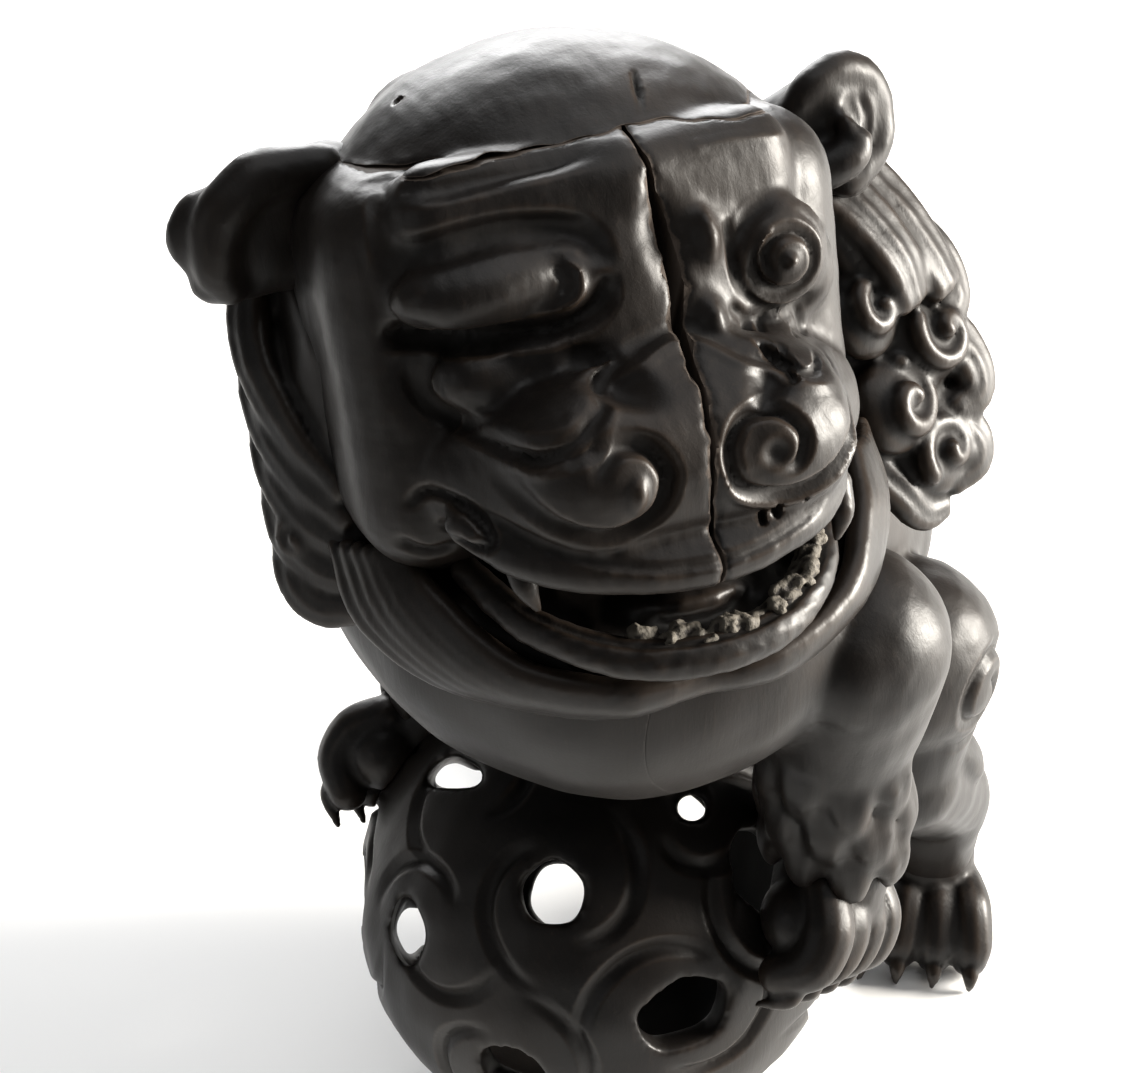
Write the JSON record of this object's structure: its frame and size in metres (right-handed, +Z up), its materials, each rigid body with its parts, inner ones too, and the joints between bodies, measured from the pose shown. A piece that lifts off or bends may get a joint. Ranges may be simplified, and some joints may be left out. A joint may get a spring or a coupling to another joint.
{
  "type": "foo dog statue",
  "caption": "Carved hardwood guardian lion that sits with both forepaws on a hollow openwork ball, its head turned to its left and its mouth open.",
  "frame": {"origin": "on the floor, under the middle of the statue's bounding box", "axes": "+Z up; the lion's body faces -Y and its own left side is +X; its head is turned toward +X"},
  "size_m": [0.1582, 0.1914, 0.2748],
  "materials": {
    "lacquered_wood": "satin near-black brown lacquer",
    "worn_wood": "lacquer worn off, dry and chipped",
    "bare_wood": "bare hardwood dowel"
  },
  "bodies": {
    "root": {"pierced_ball": "lacquered_wood", "chest_block": "lacquered_wood", "back_block": "lacquered_wood", "haunch_left": "lacquered_wood", "haunch_right": "lacquered_wood", "hind_paw_left": "lacquered_wood", "hind_paw_right": "lacquered_wood", "foreleg_left": "lacquered_wood", "foreleg_right": "lacquered_wood", "forepaw_left": "lacquered_wood", "forepaw_right": "lacquered_wood", "tail_block": "lacquered_wood", "occiput_block": "lacquered_wood", "crown_block": "lacquered_wood", "face_left_block": "lacquered_wood", "face_right_block": "lacquered_wood", "jaw_block": "lacquered_wood", "lower_teeth": "worn_wood", "fangs": "worn_wood", "ear_left": "lacquered_wood", "ear_right": "lacquered_wood", "mane_left": "lacquered_wood", "mane_right": "lacquered_wood", "nape_mane": "lacquered_wood", "beard_block": "lacquered_wood", "body_dowels": "bare_wood", "head_dowels": "bare_wood"}
  },
  "joints": []
}
